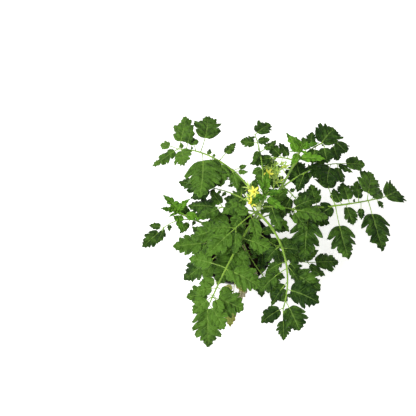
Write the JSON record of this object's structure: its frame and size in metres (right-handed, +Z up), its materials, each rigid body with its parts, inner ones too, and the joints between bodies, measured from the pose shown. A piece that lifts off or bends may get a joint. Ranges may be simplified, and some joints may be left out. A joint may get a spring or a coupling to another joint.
{
  "type": "tomato plant in a pot",
  "caption": "Bushy tomato plant with lobed compound leaves on arching stalks, yellow star flowers and buds, rooted in a round black plastic pot of compost.",
  "frame": {"origin": "centre of the flat underside of the pot, where it rests", "axes": "+Z up out of the pot, +X to the right and +Y away from the viewer, in plan"},
  "size_m": [0.741, 0.6191, 0.6356],
  "materials": {
    "pot_plastic": "satin",
    "compost": "rough",
    "stem_skin": "satin",
    "leaf": "satin",
    "young_leaf": "satin",
    "old_leaf": "matte",
    "dry_leaf": "matte",
    "petal": "satin",
    "unripe_fruit": "gloss"
  },
  "bodies": {
    "root": {"pot": "pot_plastic", "soil": "compost", "stem": "stem_skin", "truss_open": "stem_skin", "truss_budding": "stem_skin", "bloom_top": "petal", "bloom_side": "petal", "bloom_back": "petal", "young_fruit": "unripe_fruit", "shoot_tip_main": "young_leaf", "shoot_tip_right": "young_leaf", "shoot_tip_left": "young_leaf", "leaf_upper_left": "leaf", "leaf_back": "leaf", "leaf_back_right": "leaf", "leaf_right_upper": "leaf", "leaf_right": "leaf", "leaf_front_right": "leaf", "leaf_front": "leaf", "leaf_left": "leaf", "leaf_left_upper": "leaf", "leaf_inner_front": "leaf", "leaf_inner_right": "leaf", "leaf_low_right": "leaf", "leaf_low_front": "leaf", "leaf_low_left": "leaf", "leaf_inner_left": "leaf", "leaf_inner_back": "leaf", "leaf_shoot_left": "leaf", "leaf_centre": "leaf", "leaf_mid_right": "leaf", "leaf_mid_front": "leaf", "leaf_mid_left": "leaf", "leaf_centre_left": "leaf", "leaf_crown": "leaf", "leaf_crown_low": "leaf", "leaf_old": "old_leaf", "leaf_withered": "dry_leaf"}
  },
  "joints": []
}
